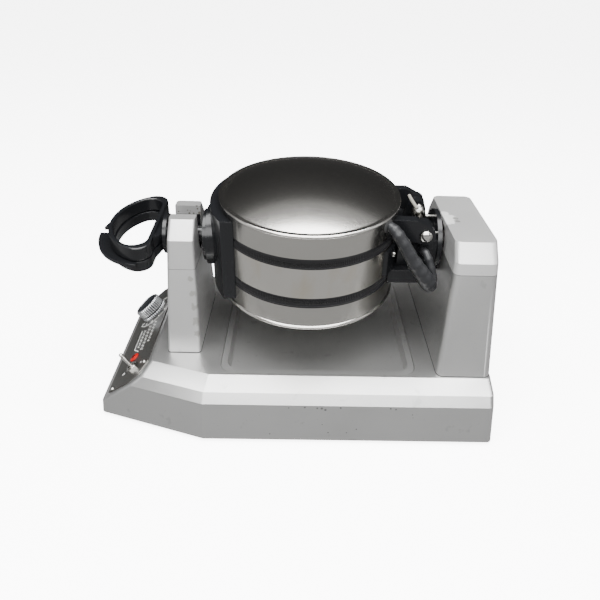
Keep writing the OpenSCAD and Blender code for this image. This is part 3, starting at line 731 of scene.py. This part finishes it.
ROUTE = [(58.1, 81.4, 50, 4.6), (61.9, 86.2, 50.4, 5.0), (66.5, 91, 48.6, 6.2), (70, 96.5, 42.5, 6.8),
         (72, 104, 31, 7.2), (73, 112.5, 16.5, 7.8), (73, 121, 4, 8.5), (72.3, 128, -6, 9.1),
         (70.6, 134, -15, 9.2), (67.6, 138.3, -21.5, 8.2), (65.2, 140.2, -21, 6.4), (63.8, 140.6, -11, 5.0),
         (60.5, 136, 3.5, 4.7), (55.5, 132, 12.5, 4.4), (48.5, 131.6, 10, 4.3), (41, 132, 7, 4.3),
         (35.3, 132, 6, 4.3)]
CONDUIT_TURN = math.radians(54.5)
CONDUIT_Z = 50
for node, place, lid in (("top_conduit", head, "upper_lid"), ("bottom_conduit", turned, "lower_lid")):
    path = smooth_route(ROUTE, 8)
    for i, point in enumerate(path):
        crinkle = 0.28 * math.sin(i * 0.9)
        point[3] += crinkle + (0.35 if i % 11 == 0 and i > 8 else 0)
    conduit = tube(node + ".look", path, "conduit", None, place, 24, replaces=(node,))
    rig.blend(conduit, lid, "head", place(60, 84, 50), place(72, 128, -6))
    c, s = math.cos(CONDUIT_TURN), math.sin(CONDUIT_TURN)
    collar = [(out * c, out * s, CONDUIT_Z, r)
              for out, r in ((102.6, 7.4), (103.6, 8.0), (104.8, 7.8), (105.8, 6.2))]
    tube(node + "_grommet", collar, "rubber", lid, place, 24)

# ---------- springs and pin heads ----------

COILS, COIL_STEPS, COIL_R, WIRE_R, COIL_PITCH = 5, 24, 6.6, 1.45, 3.3
for node, place, (y, z) in (("top_spring", head, UPPER_PIN), ("bottom_spring", turned, LOWER_PIN)):
    coil = []
    for i in range(COILS * COIL_STEPS + 1):
        turn = i / COIL_STEPS
        a = 2 * math.pi * turn
        coil.append((-17.2 + COIL_PITCH * turn, y + COIL_R * math.sin(a), z + COIL_R * math.cos(a), WIRE_R))
    tube(node + ".look", coil, "zinc", "head", place, 10, replaces=(node,))
    leg = [(-20, y - 12, z + 18.7, 1.9), (-14, y - 8.5, z + 14, 2.1), (-6, y - 3, z + 8, 2.1)]
    tube(node + "_leg", smooth_route(leg, 6), "sleeve", "head", place, 16, slot="zinc")

for tag, y, z, r in (("upper", *UPPER_PIN, 7.4), ("lower", LOWER_PIN[0], -LOWER_PIN[1], 6.2)):
    for side in (1, -1):
        rows = [(r - 0.3, 46.5), (r, 46.8), (r, 47.6)]
        for turn in range(12, 85, 9):
            a = math.radians(turn)
            rows.append((r * math.cos(a), 47.6 + 4.2 * math.sin(a)))
        rows += [(0.4, 51.8)]
        lathe(f"pin_head_{tag}_{'near' if side > 0 else 'far'}", rows, "bright", "head",
              lambda a, b, h, y=y, z=z, side=side: head(side * h, y + a, z + b), 40, slot="zinc",
              replaces=("pin_screws",))

# ---------- knob, lamp, print ----------

FLUTES, FLUTE_STEPS, FLUTE_DEPTH = 36, 6, 1.7
KNOB_TURNS = FLUTES * FLUTE_STEPS
# Rows of (radius, height, flute share), from the panel up; WAIST counts the dark ones
KNOB = [(17.6, 1.7, 0), (18.9, 1.9, 1), (19.0, 2.3, 1), (19.0, 5.6, 1), (18.6, 6.1, 1), (16.9, 6.3, 0),
        (16.7, 6.7, 0), (16.7, 7.4, 0), (17.3, 7.7, 0), (18.7, 7.9, 1), (18.7, 17.0, 1), (18.1, 18.4, 0.6),
        (16.9, 19.3, 0), (15.8, 19.6, 0), (15.4, 19.2, 0), (15.3, 18.5, 0)]
WAIST = (4, 5, 6, 7)
verts = []
for r, h, share in KNOB:
    for k in range(KNOB_TURNS):
        a = 2 * math.pi * k / KNOB_TURNS
        cut = FLUTE_DEPTH * share * (0.5 + 0.5 * math.cos(a * FLUTES)) ** 1.5
        verts.append(on_panel(KNOB_AT[0] + (r - cut) * math.cos(a), KNOB_AT[1] + (r - cut) * math.sin(a), h))
faces = wrap(len(KNOB), KNOB_TURNS)
faces.append(tuple(range(KNOB_TURNS)))
faces.append(tuple(range(len(verts) - KNOB_TURNS, len(verts))))
knob = add("knob_body.look", verts, faces, "knob_silver", "knob", replaces=("knob_body",), angle=50)
knob.data.materials.append(M["matte_black"].mat)
for face in knob.data.polygons[:(len(KNOB) - 1) * KNOB_TURNS]:
    row, k = divmod(face.index, KNOB_TURNS)
    in_groove = KNOB[row][2] and KNOB[row + 1][2] and k % FLUTE_STEPS in (FLUTE_STEPS - 1, 0)
    if in_groove or row in WAIST:
        face.material_index = 1


def disc(name, at, r, h0, h1, material, body, bulge, **more):
    """A disc standing on the panel with a bulging top."""
    turns, rings = 64, 6
    rows = [(r, h0), (r, h1 - 0.2), (r - 0.25, h1)]
    for k in range(1, rings):
        rows.append((r * (1 - k / rings), h1 + bulge * (1 - (1 - k / rings) ** 2)))
    rows.append((0.05, h1 + bulge))
    verts = []
    for q, h in rows:
        for k in range(turns):
            a = 2 * math.pi * k / turns
            verts.append(on_panel(at[0] + q * math.cos(a), at[1] + q * math.sin(a), h))
    add(name, verts, [*wrap(len(rows), turns), tuple(range(turns))], material, body, **more)


disc("knob_face.look", KNOB_AT, 15.2, 18.4, 19.0, "knob_dark", "knob", 0.4, replaces=("knob_face",))
disc("lamp_lens.look", LAMP_AT, 6.4, PANEL_FACE, 2.4, "lamp_red", "base", 1.2, replaces=("lamp_lens",))
disc("lamp_lens_core", LAMP_AT, 3.2, 2.6, 3.7, "lamp_core", "base", 0.8, slot="lamp_red")


def strip(name, points, width):
    """A thin printed line along (across, up the slope) points on the panel."""
    base, thick = PANEL_FACE + 0.06, 0.05
    verts, faces = [], []
    for i, (x, u) in enumerate(points):
        before, after = points[max(0, i - 1)], points[min(len(points) - 1, i + 1)]
        dx, du = after[0] - before[0], after[1] - before[1]
        half = width / 2 / math.hypot(dx, du)
        ox, ou = -du * half, dx * half
        for side in (1, -1):
            for h in (base, base + thick):
                verts.append(on_panel(x + side * ox, u + side * ou, h))
    for i in range(len(points) - 1):
        a, b = 4 * i, 4 * i + 4
        faces += [(a + 1, b + 1, b + 3, a + 3), (a, a + 2, b + 2, b)]
        faces += [(a, b, b + 1, a + 1), (a + 2, a + 3, b + 3, b + 2)]
    end = len(verts) - 4
    faces += [(0, 1, 3, 2), (end, end + 2, end + 3, end + 1)]
    add(name, verts, faces, "print", "base", slot="panel_grey", smooth=False)


def ring_points(at, r, degrees):
    """Points on a circle on the panel, at the given angles."""
    return [(at[0] + r * math.cos(math.radians(a)), at[1] + r * math.sin(math.radians(a))) for a in degrees]


TICKS, TICK_TURN, FIRST_TICK = 11, 30, -60
for i in range(TICKS):
    a = FIRST_TICK + TICK_TURN * i
    long_r = 24.6 if i % 2 else 25.8
    strip(f"scale_tick_{i}", ring_points(KNOB_AT, 21.2, [a]) + ring_points(KNOB_AT, long_r, [a]), 1.5)
strip("scale_arc", ring_points(KNOB_AT, 26.6, range(-60, 241, 10)), 0.7)

# Zigzag rows stand for the panel's words: first x, waves, height on the slope, height of a wave
for i, (x0, waves, u, tall) in enumerate(((-14, 7, 58, 4.6), (-11, 8, 49, 5.2), (-8, 6, 40, 4.2))):
    zigzag = [(x0 + 3.6 * k, u + (tall / 2 if k % 2 else -tall / 2)) for k in range(2 * waves)]
    strip(f"scale_wave_{i}", zigzag, 1.0)
strip("scale_line", [(-12, 33), (30, 33), (42, 44)], 0.9)
strip("switch_mark_on", [(SWITCH_X, 58.5), (SWITCH_X, 62)], 0.9)
strip("switch_mark_off", ring_points((SWITCH_X, 31), 1.8, range(0, 361, 18)), 0.7)

size["model"] = [list(v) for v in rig.bounds()]
json.dump(size, open("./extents.json", "w"))
